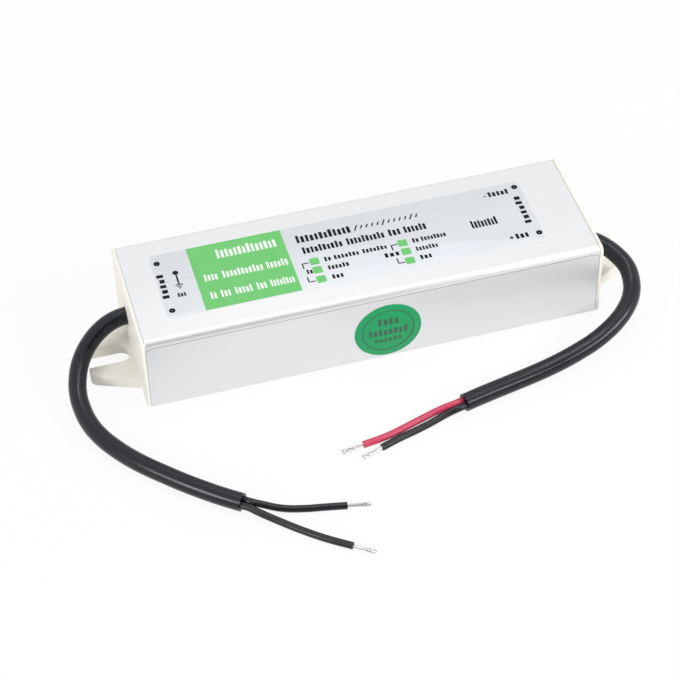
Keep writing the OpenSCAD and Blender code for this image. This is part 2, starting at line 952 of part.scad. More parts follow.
module isolation_capacitor() {
    height = board_top + disc_gap + disc_diameter / 2;
    color("royalblue") {
        translate([transformer_x, side_strip, height])
            rotate([0, 0, 90])
                standing_disc(disc_diameter, disc_thickness);
        pins(isolation_pins, height);
    }
}

module optocoupler() {
    place = flat_part_width / 4;
    color("white")
        flat_part(transformer_x, 0, [-place, place], flat_part_width / 4);
}

module output_diode() {
    color("dimgray")
        axial_part(diode_x, 0, diode_diameter, diode_length);
}

module load_resistor() {
    color("tan")
        axial_part(transformer_x, -side_strip, resistor_diameter, resistor_length, 90);
}

module voltage_reference() {
    color("dimgray") {
        translate([reference_x, row_offset, board_top + reference_leg])
            linear_extrude(reference_height)
                intersection() {
                    circle(d = reference_diameter);
                    translate([-reference_diameter / 2, -reference_diameter / 2])
                        square([reference_diameter, reference_depth]);
                }
        pins(reference_pins, board_top + reference_leg + CUT);
    }
}

module output_choke_core() {
    color("dimgray")
        choke_core(output_x, -row_offset, output_choke_pins);
}

module output_choke_winding() {
    color("sienna")
        choke_winding(output_x, -row_offset);
}

// Everything on the board, which the potting leaves room for
module board_parts() {
    line_lead();
    neutral_lead();
    positive_lead();
    negative_lead();
    fuse();
    varistor();
    film_capacitor();
    filter_choke_core();
    filter_choke_winding();
    bridge_rectifier();
    bulk_capacitor();
    controller_chip();
    snubber_resistor();
    snubber_capacitor();
    snubber_diode();
    sense_resistor();
    transformer_bobbin();
    transformer_winding();
    transformer_core();
    isolation_capacitor();
    optocoupler();
    output_diode();
    load_resistor();
    voltage_reference();
    output_capacitor();
    output_choke_core();
    output_choke_winding();
}

module potting_compound() {
    color("lightgray")
        difference() {
            translate([-half_length, 0, 0])
                along_x(housing_length)
                    cavity_profile();
            for (turn = [0, 180])
                rotate([0, 0, turn]) {
                    plug(0);
                    translate([sheath_end, -cable_hole_offset, cable_hole_height])
                        rotate([0, 90, 0])
                            cylinder(r = cable_radius, h = sheath_tail + CUT);
                }
            for (side = [-1, 1])
                translate([0, side * inner_width / 2, (board_bottom + slot_top) / 2])
                    cube([housing_length + CUT, 2 * rail_depth, slot_top - board_bottom], center = true);
            board_blank();
            sheet_blank(CUT);
            board_parts();
        }
}

housing();
input_end_cap();
output_end_cap();
rating_label();
inspection_sticker();
input_cable();
input_core_line();
input_core_neutral();
strands(line_route);  // input_strands_line
strands(neutral_route);  // input_strands_neutral
output_cable();
output_core_positive();
output_core_negative();
strands(positive_route);  // output_strands_positive
strands(negative_route);  // output_strands_negative
circuit_board();
insulating_sheet();
line_lead();
neutral_lead();
positive_lead();
negative_lead();
fuse();
varistor();
film_capacitor();
filter_choke_core();
filter_choke_winding();
bridge_rectifier();
bulk_capacitor();
controller_chip();
snubber_resistor();
snubber_capacitor();
snubber_diode();
sense_resistor();
transformer_bobbin();
transformer_winding();
transformer_core();
isolation_capacitor();
optocoupler();
output_diode();
load_resistor();
voltage_reference();
output_capacitor();
output_choke_core();
output_choke_winding();
potting_compound();
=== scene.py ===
# %% [markdown]
# # Dressing a small waterproof LED driver
# The driver is an aluminium tube with two moulded caps, a printed label, a round sticker and a cable
# out of each end. Its solids were drawn in CAD, and this lesson models the pieces that show once more in
# Blender, with the rounded edges, cut ends and print that the solids leave out. The CAD model is loaded
# first and stays where it is, because every piece takes its place from it.

# %% Load the CAD model
import json
import math
from collections import namedtuple

import bmesh
import bpy
from mathutils import Matrix, Vector


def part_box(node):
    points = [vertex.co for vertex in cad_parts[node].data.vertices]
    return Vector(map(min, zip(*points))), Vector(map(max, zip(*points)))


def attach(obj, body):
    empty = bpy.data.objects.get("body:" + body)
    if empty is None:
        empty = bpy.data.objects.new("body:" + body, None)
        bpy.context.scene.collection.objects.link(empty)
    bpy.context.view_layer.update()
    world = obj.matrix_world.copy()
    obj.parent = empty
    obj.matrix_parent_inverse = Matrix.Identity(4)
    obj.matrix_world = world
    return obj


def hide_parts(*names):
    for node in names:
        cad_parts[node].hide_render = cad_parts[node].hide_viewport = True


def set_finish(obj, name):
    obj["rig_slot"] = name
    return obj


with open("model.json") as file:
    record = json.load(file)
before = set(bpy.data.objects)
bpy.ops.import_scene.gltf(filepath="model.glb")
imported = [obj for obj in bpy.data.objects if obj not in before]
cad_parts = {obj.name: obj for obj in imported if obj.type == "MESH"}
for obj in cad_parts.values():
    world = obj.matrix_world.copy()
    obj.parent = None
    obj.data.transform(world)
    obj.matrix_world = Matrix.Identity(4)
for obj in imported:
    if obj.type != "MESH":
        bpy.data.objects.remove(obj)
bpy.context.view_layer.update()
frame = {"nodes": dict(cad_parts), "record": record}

MM = 0.001

# %% [markdown]
# ## Camera
# The photograph looks down on the driver from the front left. A camera could be moved by eye until the
# corners agree, but here its three angles, its place and its lens were worked out from the corners of the
# tube. Its three axes make the turn: one to the right, one upwards and one back out of the picture.

# %% Place the camera
AZIMUTH, ELEVATION, ROLL = [math.radians(angle) for angle in (-14.817, 45.798, -1.425)]
CAMERA_PLACE = Vector((-91.301, -328.881, 341.798))
LENS, SENSOR = 112.669, 36

back = Vector((
    math.sin(AZIMUTH) * math.cos(ELEVATION),
    -math.cos(AZIMUTH) * math.cos(ELEVATION),
    math.sin(ELEVATION),
))
level = Vector((math.cos(AZIMUTH), math.sin(AZIMUTH), 0))
upright = back.cross(level)
right = math.cos(ROLL) * level + math.sin(ROLL) * upright
up = math.cos(ROLL) * upright - math.sin(ROLL) * level

bpy.ops.object.camera_add(
    location=CAMERA_PLACE * MM, rotation=Matrix((right, up, back)).transposed().to_euler()
)
camera = bpy.context.object
camera.data.sensor_width = SENSOR
camera.data.lens = LENS
bpy.context.scene.camera = camera
print("camera", round(CAMERA_PLACE.length), "mm from the origin, lens", LENS, "mm")

# %% [markdown]
# ## Tools for working in edit mode
# By hand, a modeller opens one piece, clicks the faces or edges to work on and runs an operator on them.
# The same is done here in code: nothing else stays selected, and what is worked on is picked by its place
# and by the way that it points. Places are given in millimetres.

# %% Open a piece and pick parts of it
# Shares of a direction that count as along an axis and as across it
ALONG, ACROSS = 0.9, 0.1
# Distances in millimetres at which two places count as the same and as close
NEAR, CLOSE = 0.01, 0.1


def start_clean():
    """Leaves edit mode with nothing selected."""
    if bpy.context.mode != "OBJECT":
        bpy.ops.object.mode_set(mode="OBJECT")
    bpy.ops.object.select_all(action="DESELECT")


def select(piece):
    """Makes one piece the only selected one."""
    start_clean()
    piece.select_set(True)
    bpy.context.view_layer.objects.active = piece


def edit(piece):
    """Opens one piece in edit mode."""
    select(piece)
    bpy.ops.object.mode_set(mode="EDIT")


def pick(kind, test):
    """Selects the vertices, edges or faces whose place and direction pass a test."""
    bpy.ops.mesh.select_mode(type=kind)
    bpy.ops.mesh.select_all(action="DESELECT")
    data = bpy.context.edit_object.data
    mesh = bmesh.from_edit_mesh(data)
    mesh.normal_update()
    found = 0
    for item in {"VERT": mesh.verts, "EDGE": mesh.edges, "FACE": mesh.faces}[kind]:
        corners = [item.co] if kind == "VERT" else [vertex.co for vertex in item.verts]
        place = sum(corners, Vector()) / len(corners) / MM
        way = (corners[1] - corners[0]).normalized() if kind == "EDGE" else item.normal
        if test(place, way):
            item.select_set(True)
            found += 1
    mesh.select_flush_mode()
    bmesh.update_edit_mesh(data)
    return found


def bevel(radius, segments):
    """Rounds the picked edges."""
    bpy.ops.mesh.bevel(offset=radius * MM, segments=segments, affect="EDGES", clamp_overlap=False)


def extrude(x, y, z):
    """Pulls the picked faces out."""
    bpy.ops.mesh.extrude_region_move(TRANSFORM_OT_translate={"value": (x * MM, y * MM, z * MM)})


def smooth(piece, degrees=35):
    """Shades a piece smooth, with creases where its faces meet at more than an angle."""
    select(piece)
    bpy.ops.object.shade_smooth_by_angle(angle=math.radians(degrees))


def report(piece):
    """Prints a piece's name and how many faces it has."""
    print(piece.name, len(piece.data.polygons), "faces")


print("tools ready")

# %% [markdown]
# ## Cables
# Each cable is a black round sheath with two thin cores in it. A curve through the points of its route
# gives a tube that bends evenly, so the tube is made from a Bezier curve with a round bevel and then turned
# into a mesh. As a mesh its cut end can be opened, so that the wall of the sheath shows round the cores.

# %% Routes of the sheaths
CABLE_DIAMETER, CORE_DIAMETER = 4, 1.6
INPUT_EXIT = Vector((-52, 3, 11))
OUTPUT_EXIT = Vector((52, -3, 11))

input_route = [
    (-49.25, 3, 11), (-52, 3, 11), (-55.2, 2.6, 10.6), (-58.4, 1.4, 9.6), (-61.1, -0.3, 8.2),
    (-63.6, -2.9, 6.4), (-65.3, -6.5, 4.8), (-66.03, -10.1, 3.5), (-65.95, -13.9, 2.7), (-65.2, -18.1, 2.2),
    (-63.6, -22.4, 2.02), (-61.3, -26.5, 2.02), (-58.7, -30.2, 2.02), (-55.8, -33.6, 2.02),
    (-52.7, -36.8, 2.02), (-49.6, -39.9, 2.02), (-46.3, -42.9, 2.02), (-42.9, -45.8, 2.02),
    (-39, -48.8, 2.02),
]
output_route = [
    (49.25, -3, 11), (52, -3, 11), (54.5, -3.8, 10.6), (56.9, -5.7, 9.8), (58.9, -8.4, 8.8),
    (60, -11.4, 7.9), (59.8, -14.9, 7.1), (58.6, -18.3, 6.4), (56, -21.8, 5.8), (52.9, -24.4, 5.1),
    (49.4, -26.5, 4.5), (46, -28, 3.9), (42.6, -29.1, 3.4), (38.9, -30.1, 2.9), (34.7, -31, 2.4),
    (30.1, -31.9, 2.1), (25.1, -32.9, 2.02), (19.4, -34.1, 2.02), (13.8, -35.4, 2.02),
]
input_route = [Vector(point) for point in input_route]
output_route = [Vector(point) for point in output_route]


def route_length(route):
    """The length of the straight lines from point to point."""
    return sum((after - before).length for before, after in zip(route, route[1:]))


print("sheaths", round(route_length(input_route), 1), "and", round(route_length(output_route), 1), "mm long")

# %% A round tube along a route
END_REACH, FACING = 0.2, 0.8


def add_tube(name, route, diameter, steps=6, roundness=8):
    """A mesh tube round a smooth curve through the points of a route."""
    start_clean()
    bpy.ops.curve.primitive_bezier_curve_add(location=(0, 0, 0))
    curve = bpy.context.object.data
    curve.splines.clear()
    spline = curve.splines.new("BEZIER")
    spline.bezier_points.add(len(route) - 1)
    for knot, place in zip(spline.bezier_points, route):
        knot.co = Vector(place) * MM
        knot.handle_left_type = knot.handle_right_type = "AUTO"
    curve.resolution_u = steps
    curve.bevel_depth = diameter * MM / 2
    curve.bevel_resolution = roundness
    curve.use_fill_caps = True
    bpy.ops.object.convert(target="MESH")
    tube = bpy.context.object
    tube.name = tube.data.name = name
    edit(tube)
    bpy.ops.mesh.select_all(action="SELECT")
    bpy.ops.mesh.remove_doubles(threshold=0.001 * MM)
    bpy.ops.mesh.normals_make_consistent(inside=False)
    return tube


def end_of(route):
    """Where a route ends, and the way that it points there."""
    return route[-1], (route[-1] - route[-2]).normalized()


def open_end(tube, route, wall, depth, rim):
    """Rounds the rim of a tube's cut end and hollows the tube out behind it."""
    end, along = end_of(route)

    def cut_face(place, way):
        return (place - end).length < END_REACH and way.dot(along) > FACING

    edit(tube)
    pick("FACE", cut_face)
    bevel(rim, 2)
    pick("FACE", cut_face)
    bpy.ops.mesh.inset(thickness=wall * MM)
    extrude(*(-depth * along))
    bpy.ops.object.mode_set(mode="OBJECT")
    smooth(tube, 40)


sheaths = []
for name, route in (("input_cable_sheath", input_route), ("output_cable_sheath", output_route)):
    sheath = add_tube(name, route, CABLE_DIAMETER)
    open_end(sheath, route, wall=0.27, depth=3, rim=0.1)
    report(sheath)
    sheaths.append(sheath)

# %% [markdown]
# ## Cores and strands
# The two cores come out of the sheath side by side and then part. At their ends the insulation is stripped
# and the tinned strands show, twisted together. A plain rod would do from far away, but seven thin wires
# laid round each other give the broken sparkle that the photograph has, and a blob of solder holds their
# tips. One twist is modelled straight, and its copies are turned to where the cores end.

# %% Routes and tubes of the cores
CORE_EXIT, CORE_TAIL = 2, 2.5
Core = namedtuple("Core", "name sheath_route side slot points")
cores = [
    Core("core_line", input_route, 1, "core_black", [
        (-35.5, -50.1, 1.8), (-31.4, -52, 1.2), (-27, -53.1, 0.83), (-22.5, -54, 0.83), (-18.1, -54.9, 0.83),
    ]),
    Core("core_neutral", input_route, -1, "core_black", [
        (-36.7, -51.8, 1.8), (-32.6, -55.3, 1.1), (-28.6, -58.8, 0.83), (-24.4, -62.3, 0.83),
        (-19.9, -65.5, 0.83),
    ]),
    Core("core_positive", output_route, -1, "core_red", [
        (8.9, -35.2, 1.5), (4.2, -36.2, 1), (-0.5, -37.6, 0.83), (-5.1, -38.9, 0.83), (-10.2, -39.7, 0.83),
    ]),
    Core("core_negative", output_route, 1, "core_black", [
        (9.8, -36.9, 1.6), (5.7, -38, 1.1), (1.6, -39.1, 0.83), (-2.4, -40.2, 0.83), (-6.6, -41.6, 0.83),
    ]),
]


def core_route(core):
    """Out of the hollow end of the sheath beside the other core, and on through the core's own points."""
    end, along = end_of(core.sheath_route)
    across = Vector((0, 0, 1)).cross(along).normalized()
    start = end + core.side * CORE_DIAMETER / 2 * across
    return [start - CORE_TAIL * along, start, start + CORE_EXIT * along] + [Vector(p) for p in core.points]


core_pieces = []
for core in cores:
    route = core_route(core)
    piece = add_tube(core.name, route, CORE_DIAMETER, steps=8, roundness=5)
    open_end(piece, route, wall=0.3, depth=1.5, rim=0.06)
    report(piece)
    core_pieces.append(piece)

# %% Twist seven wires and copy them to the cores' ends
STRAND_LENGTH, STRAND_TAIL = 5, 1.4
WIRE_DIAMETER, OUTER_WIRES, TURNS, WIRE_STEPS = 0.28, 6, 0.9, 14
TWIST_RADIUS, LOOSENING, UNEVEN_CUT = 0.2, 0.14, 0.3
TIP_RADIUS, TIP_FLATNESS = 0.5, 0.85


def wire_route(index):
    """One wire round the middle one, a little looser towards the free end."""
    points = []
    for step in range(WIRE_STEPS + 1):
        part = step / WIRE_STEPS
        angle = 2 * math.pi * (index / OUTER_WIRES + TURNS * part)
        away = TWIST_RADIUS + LOOSENING * part ** 2
        x = part * (STRAND_LENGTH + STRAND_TAIL - UNEVEN_CUT * (index % 3)) - STRAND_TAIL
        points.append(Vector((x, away * math.cos(angle), away * math.sin(angle))))
    return points


wires = []
for i in range(OUTER_WIRES):
    wires.append(add_tube("wire", wire_route(i), WIRE_DIAMETER, steps=2, roundness=2))
middle_wire = [Vector((-STRAND_TAIL, 0, 0)), Vector((2, 0, 0)), Vector((STRAND_LENGTH - 0.05, 0, 0))]
wires.append(add_tube("wire", middle_wire, WIRE_DIAMETER, steps=4, roundness=2))
start_clean()
bpy.ops.mesh.primitive_uv_sphere_add(
    segments=20, ring_count=12, radius=TIP_RADIUS * MM, location=((STRAND_LENGTH - TIP_RADIUS) * MM, 0, 0)
)
bpy.ops.transform.resize(value=(1, 1, TIP_FLATNESS))
bpy.ops.object.transform_apply(location=True, rotation=True, scale=True)
wires.append(bpy.context.object)
start_clean()
for wire in wires:
    wire.select_set(True)
bpy.context.view_layer.objects.active = wires[0]
bpy.ops.object.join()
bundle = bpy.context.object
smooth(bundle, 50)

strands = []
for core in cores:
    select(bundle)
    bpy.ops.object.duplicate(linked=False)
    copy = bpy.context.object
    copy.name = copy.data.name = core.name.replace("core", "strands")
    end, along = end_of(core_route(core))
    copy.matrix_world = Matrix.Translation(end * MM) @ along.to_track_quat("X", "Z").to_matrix().to_4x4()
    bpy.ops.object.transform_apply(location=True, rotation=True, scale=True)
    report(copy)
    strands.append(copy)
bpy.data.objects.remove(bundle)

# The photograph shows both cables from end to end, so each is built along its whole route. Each sheath, its
# cores and its strands take the place of their CAD nodes and get their finishes.

for sheath, route, exit_place, mine, side in (
    (sheaths[0], input_route, INPUT_EXIT, (0, 1), "input"),
    (sheaths[1], output_route, OUTPUT_EXIT, (2, 3), "output"),
):
    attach(sheath, "root")
    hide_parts(side + "_cable")
    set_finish(sheath, "cable_sheath")
    for i in mine:
        core, strand = core_pieces[i], strands[i]
        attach(core, "root")
        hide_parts(side + "_" + core.name)
        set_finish(core, cores[i].slot)
        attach(strand, "root")
        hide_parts(side + "_" + strand.name)
        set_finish(strand, "tinned_strands")
    exit_place * MM
    route_length(route) * MM
    [point * MM for point in route]
    [core_pieces[i] for i in mine] + [strands[i] for i in mine]

# %% [markdown]
# ## Housing
# The housing is a length of extruded aluminium tube, with rounded long edges and two pairs of rails inside
# that hold the board. A block is inset at both ends and the two insets are bridged, which makes it a tube.
# Its long edges are rounded, and the rails are pulled out of the inner walls where four cuts divide them.
# A saw and a tumbler leave the ends of such a tube slightly rounded, which draws a fine line beside the caps.

# %% Blocks with their place in the mesh
def node_box(name):
    """A CAD node's lowest and highest corners, in millimetres."""
    return [Vector(corner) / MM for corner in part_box(name)]


def add_block(name, low, high):
    """A box between two corners."""
    low, high = Vector(low), Vector(high)
    start_clean()
    bpy.ops.mesh.primitive_cube_add(size=1, location=(low + high) / 2 * MM, scale=(high - low) * MM)
    bpy.ops.object.transform_apply(location=True, rotation=True, scale=True)
    block = bpy.context.object
    block.name = block.data.name = name
    return block


for corner in node_box("housing"):
    print("housing corner", [round(x, 2) for x in corner])

# %% Extruded tube
WALL, EDGE_RADIUS, INNER_RADIUS, END_RADIUS = 1.3, 1.5, 0.5, 0.35
RAIL_DEPTH, RAIL_HEIGHTS = 1.2, (3.3, 4.3, 6.05, 7.05)
low, high = node_box("housing")
HALF_LENGTH, HALF_WIDTH, HEIGHT = high.x, high.y, high.z
INNER_WALL = HALF_WIDTH - WALL


def outline_depth(place):
    """How far a place lies inside the tube's rounded outline, seen along the tube."""
    y = abs(place.y) - (HALF_WIDTH - EDGE_RADIUS)
    z = abs(place.z - HEIGHT / 2) - (HEIGHT / 2 - EDGE_RADIUS)
    return EDGE_RADIUS - math.hypot(max(y, 0), max(z, 0)) - min(max(y, z), 0)


housing = add_block("extruded_housing", low, high)
edit(housing)
pick("FACE", lambda place, way: abs(way.x) > ALONG)
bpy.ops.mesh.inset(thickness=WALL * MM, use_individual=True)
bpy.ops.mesh.bridge_edge_loops()
pick("EDGE", lambda place, way: abs(way.x) > ALONG and abs(place.y) > HALF_WIDTH - CLOSE)
bevel(EDGE_RADIUS, 8)
pick("EDGE", lambda place, way: abs(way.x) > ALONG and abs(abs(place.y) - INNER_WALL) < NEAR)
bevel(INNER_RADIUS, 4)


def inner_side(place, way):
    """Whether a face belongs to one of the tube's two inner side walls."""
    return abs(way.y) > ALONG and abs(abs(place.y) - INNER_WALL) < NEAR


for height in RAIL_HEIGHTS:
    pick("FACE", inner_side)
    bpy.ops.mesh.bisect(plane_co=(0, 0, height * MM), plane_no=(0, 0, 1))
for side in (-1, 1):
    pick("FACE", lambda place, way: inner_side(place, way) and place.y * side > 0 and (
        RAIL_HEIGHTS[0] < place.z < RAIL_HEIGHTS[1] or RAIL_HEIGHTS[2] < place.z < RAIL_HEIGHTS[3]))
    extrude(0, -side * RAIL_DEPTH, 0)
pick("EDGE", lambda place, way: (
    abs(abs(place.x) - HALF_LENGTH) < NEAR and abs(way.x) < ACROSS and outline_depth(place) < 2 * NEAR))
bevel(END_RADIUS, 4)
smooth(housing)
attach(housing, "root")
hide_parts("housing")
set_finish(housing, "housing_aluminium")
report(housing)

# %% [markdown]
# ## End caps
# One moulding closes both ends: a flange as large as the tube, a plug rim that goes into it, a hole for the
# cable and a lug with an open slot for a screw. It could be shaped from one block, but its parts are simpler
# apart, so each is made by itself and a Boolean modifier joins or cuts them. Faces of two parts that lie in
# one plane confuse a Boolean, so they are kept a hair apart. What a Boolean leaves has long thin faces, which
# shade unevenly until a Weighted Normal modifier lets the large flat ones lead. The second cap is a copy,
# turned half round.

# %% Join and cut with Boolean modifiers
def carve(piece, tool, how):
    """Joins a tool to a piece, or cuts the piece with it."""
    select(piece)
    step = piece.modifiers.new("carve", "BOOLEAN")
    step.operation = how
    step.solver = "MANIFOLD"
    step.object = tool
    bpy.ops.object.modifier_apply(modifier=step.name)
    bpy.data.objects.remove(tool)


cap_ends = (node_box("input_end_cap")[0].x, node_box("output_end_cap")[1].x)
print("caps reach from", round(cap_ends[0], 2), "to", round(cap_ends[1], 2))

# %% Flange and plug rim
FLANGE_FACE, LUG_TIP = 52, cap_ends[1]
PLUG_DEPTH, PLUG_GAP, PLUG_WALL = 5, 0.15, 1.35
JOIN, CLEAR, PAST = 0.4, 0.02, 1
RIM_RADIUS, SEAM_RADIUS = 0.25, 0.1

cap = add_block("output_cap", (HALF_LENGTH, -HALF_WIDTH, 0), (FLANGE_FACE, HALF_WIDTH, HEIGHT))
edit(cap)
pick("EDGE", lambda place, way: abs(way.x) > ALONG)
bevel(EDGE_RADIUS, 8)
for x, radius, segments in ((FLANGE_FACE, RIM_RADIUS, 3), (HALF_LENGTH, SEAM_RADIUS, 2)):
    pick("EDGE", lambda place, way: abs(place.x - x) < NEAR and abs(way.x) < ACROSS)
    bevel(radius, segments)

half_plug, plug_base = INNER_WALL - PLUG_GAP, WALL + PLUG_GAP
plug = add_block(
    "plug",
    (HALF_LENGTH - PLUG_DEPTH, -half_plug, plug_base),
    (HALF_LENGTH + JOIN, half_plug, HEIGHT - plug_base),
)
edit(plug)
pick("EDGE", lambda place, way: abs(way.x) > ALONG)
bevel(INNER_RADIUS, 4)
pick("FACE", lambda place, way: way.x < -ALONG)
bpy.ops.mesh.inset(thickness=PLUG_WALL * MM)
extrude(PLUG_DEPTH - CLEAR, 0, 0)
rail_gap = add_block(
    "rail_gap",
    (HALF_LENGTH - PLUG_DEPTH - PAST, -HALF_WIDTH, RAIL_HEIGHTS[0] - PLUG_GAP),
    (HALF_LENGTH - 2 * CLEAR, HALF_WIDTH, RAIL_HEIGHTS[-1] + PLUG_GAP),
)
carve(plug, rail_gap, "DIFFERENCE")
carve(cap, plug, "UNION")
report(cap)

# %% Screw lug and cable hole
LUG_ROOT, LUG_END, LUG_THICKNESS = 18.8, 10.4, 3
LUG_CORNER, MOUTH_CORNER, LUG_EDGE = 1, 0.5, 0.3
SLOT_RADIUS, SLOT_MIDDLE = 2.6, FLANGE_FACE + 3
SLOT_ROUNDING = 0.999 * SLOT_RADIUS
HOLE_RADIUS, HOLE_EDGE, HOLE_CUT = 2.15, 0.2, 4

lug = add_block("lug", (FLANGE_FACE, -LUG_ROOT / 2, CLEAR), (LUG_TIP, LUG_ROOT / 2, LUG_THICKNESS))
edit(lug)
pick("FACE", lambda place, way: way.x > ALONG)
bpy.ops.transform.resize(value=(1, LUG_END / LUG_ROOT, 1))
pick("FACE", lambda place, way: way.x < -ALONG)
extrude(-JOIN, 0, 0)
pick("EDGE", lambda place, way: abs(way.y) > ALONG and abs(place.x - FLANGE_FACE) < NEAR)
bpy.ops.mesh.dissolve_edges(use_verts=False)
pick("EDGE", lambda place, way: abs(way.z) > ALONG and place.x > LUG_TIP - CLOSE)
bevel(LUG_CORNER, 6)

slot = add_block(
    "slot",
    (SLOT_MIDDLE - SLOT_RADIUS, -SLOT_RADIUS, -PAST),
    (LUG_TIP + PAST, SLOT_RADIUS, LUG_THICKNESS + PAST),
)
edit(slot)
pick("EDGE", lambda place, way: abs(way.z) > ALONG and place.x < SLOT_MIDDLE)
bevel(SLOT_ROUNDING, 16)
carve(lug, slot, "DIFFERENCE")
edit(lug)
pick("EDGE", lambda place, way: (
    abs(way.z) > ALONG and place.x > LUG_TIP - CLOSE and abs(abs(place.y) - SLOT_RADIUS) < CLOSE))
bevel(MOUTH_CORNER, 4)
pick("FACE", lambda place, way: abs(way.z) > ALONG)
bevel(LUG_EDGE, 3)
carve(cap, lug, "UNION")

hole_y, hole_z = OUTPUT_EXIT.y, OUTPUT_EXIT.z
start_clean()
bpy.ops.mesh.primitive_cylinder_add(
    vertices=48, radius=HOLE_RADIUS * MM, depth=HOLE_CUT * MM,
    location=OUTPUT_EXIT * MM, rotation=(0, math.pi / 2, 0),
)
carve(cap, bpy.context.object, "DIFFERENCE")
edit(cap)
pick("EDGE", lambda place, way: (
    place.x > FLANGE_FACE - NEAR
    and abs(math.hypot(place.y - hole_y, place.z - hole_z) - HOLE_RADIUS) < 2 * NEAR))
bevel(HOLE_EDGE, 2)
smooth(cap)
even = cap.modifiers.new("even shading", "WEIGHTED_NORMAL")
even.keep_sharp = True
bpy.ops.object.modifier_apply(modifier=even.name)
report(cap)

# %% The same cap at the other end
select(cap)
bpy.ops.object.duplicate(linked=False)
input_cap = bpy.context.object
input_cap.name = input_cap.data.name = "input_cap"
edit(input_cap)
bpy.ops.mesh.select_all(action="SELECT")
bpy.ops.transform.rotate(value=math.pi, orient_axis="Z", center_override=(0, 0, 0))
start_clean()
for piece, node in ((cap, "output_end_cap"), (input_cap, "input_end_cap")):
    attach(piece, "root")
    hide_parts(node)
    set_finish(piece, "cap_plastic")
print("input cap reaches to", round(min(vertex.co.x for vertex in input_cap.data.vertices) / MM, 2))

# %% [markdown]
# ## Label and sticker
# The label is a thin film with round corners on the top of the tube, and the sticker is a round piece of
# vinyl on its front. Both could be painted on by the aluminium's material, but a real edge catches the light,
# so they are plates. Each is left a little thinner than its solid, to make room for the ink.

# %% Film and vinyl
INK = 0.02
LABEL_CORNER, FILM_EDGE = 1, 0.03
low, high = node_box("rating_label")
LABEL_TOP = high.z - INK
label = add_block("label_film", low, (high.x, high.y, LABEL_TOP))
edit(label)
pick("EDGE", lambda place, way: abs(way.z) > ALONG)
bevel(LABEL_CORNER, 6)
pick("FACE", lambda place, way: way.z > ALONG)
bevel(FILM_EDGE, 2)
smooth(label)

low, high = node_box("inspection_sticker")
STICKER_MIDDLE = (low + high) / 2
STICKER_FACE = low.y + INK
start_clean()
bpy.ops.mesh.primitive_cylinder_add(
    vertices=96, radius=(high.x - low.x) / 2 * MM, depth=(-HALF_WIDTH - STICKER_FACE) * MM,
    location=Vector((STICKER_MIDDLE.x, (STICKER_FACE - HALF_WIDTH) / 2, STICKER_MIDDLE.z)) * MM,
    rotation=(math.pi / 2, 0, 0),
)
bpy.ops.object.transform_apply(location=True, rotation=True, scale=True)
sticker = bpy.context.object
sticker.name = sticker.data.name = "round_sticker"
edit(sticker)
pick("FACE", lambda place, way: way.y < -ALONG)
bevel(FILM_EDGE, 2)
smooth(sticker)
for piece, node, slot_name in (
    (label, "rating_label", "label_foil"),
    (sticker, "inspection_sticker", "sticker_vinyl"),
):
    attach(piece, "root")
    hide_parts(node)
    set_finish(piece, slot_name)
    report(piece)

# %% [markdown]
# ## Print
# The film carries a green panel, small green squares and rows of upright strokes, with a few dots and bars
# between them. The film's material could draw them, but thin raised shapes stay sharp from close by. They
# are flat boxes with rounded corners, as high as the ink is thick, and all of one ink are in one mesh.

# %% Where print lies and how a mark is added
Sheet = namedtuple("Sheet", "origin across up tilt")
X, Y, Z = Vector((1, 0, 0)), Vector((0, 1, 0)), Vector((0, 0, 1))
along_label = Sheet(LABEL_TOP * Z, X, Y, (0, 0, 0))
up_label = Sheet(LABEL_TOP * Z, Y, -X, (0, 0, math.pi / 2))
on_sticker = Sheet(Vector((STICKER_MIDDLE.x, STICKER_FACE, STICKER_MIDDLE.z)), X, Z, (math.pi / 2, 0, 0))


def on_sheet(sheet, u, v, lift):
    """The place on a sheet at u across and v up, lifted off it."""
    return sheet.origin + u * sheet.across + v * sheet.up + lift * sheet.across.cross(sheet.up)


def open_ink(name):
    """Starts an empty piece for one ink."""
    start_clean()
    bpy.ops.mesh.primitive_plane_add(size=MM)
    ink = bpy.context.object
    ink.name = ink.data.name = name
    edit(ink)
    bpy.ops.mesh.delete(type="VERT")
    return ink


def add_bar(sheet, u, v, width, height, lean=0, thickness=INK):
    """A thin bar of ink with its middle at u and v on a sheet."""
    tilt = (sheet.tilt[0], sheet.tilt[1], sheet.tilt[2] - lean)
    bpy.ops.mesh.primitive_cube_add(
        size=1, location=on_sheet(sheet, u, v, thickness / 2) * MM,
        rotation=tilt, scale=Vector((width, height, thickness)) * MM,
    )


def add_word(sheet, left, right, base, height, letters, strokes=1):
    """A row of upright strokes on a base line, grouped like the letters of a word."""
    pitch = (right - left) / (strokes * letters)
    for i in range(strokes * letters):
        tall = height if i % (3 * strokes + 1) == 0 else (0.76 + 0.06 * (i % 3)) * height
        width = (0.58 + 0.1 * (i % 2)) * pitch
        add_bar(sheet, left + (i + 0.5) * pitch, base + tall / 2, width, tall)


def round_corners(sheet, radius):
    """Rounds the corners of all bars that were added so far."""
    out = sheet.across.cross(sheet.up)
    pick("EDGE", lambda place, way: abs(way.dot(out)) > ALONG)
    bevel(radius, 3)


def add_dot(sheet, u, v, radius, hole=0, sides=32):
    """A round dot of ink, or a ring if it has a hole."""
    bpy.ops.mesh.select_all(action="DESELECT")
    middle = on_sheet(sheet, u, v, 0)
    bpy.ops.mesh.primitive_circle_add(
        vertices=sides, radius=radius * MM, fill_type="NGON", location=middle * MM, rotation=sheet.tilt
    )
    if hole:
        bpy.ops.mesh.inset(thickness=(radius - hole) * MM)
        bpy.ops.mesh.delete(type="FACE")
    pick("FACE", lambda place, way: hole <= (place - middle).length < radius)
    extrude(*(INK * sheet.across.cross(sheet.up)))


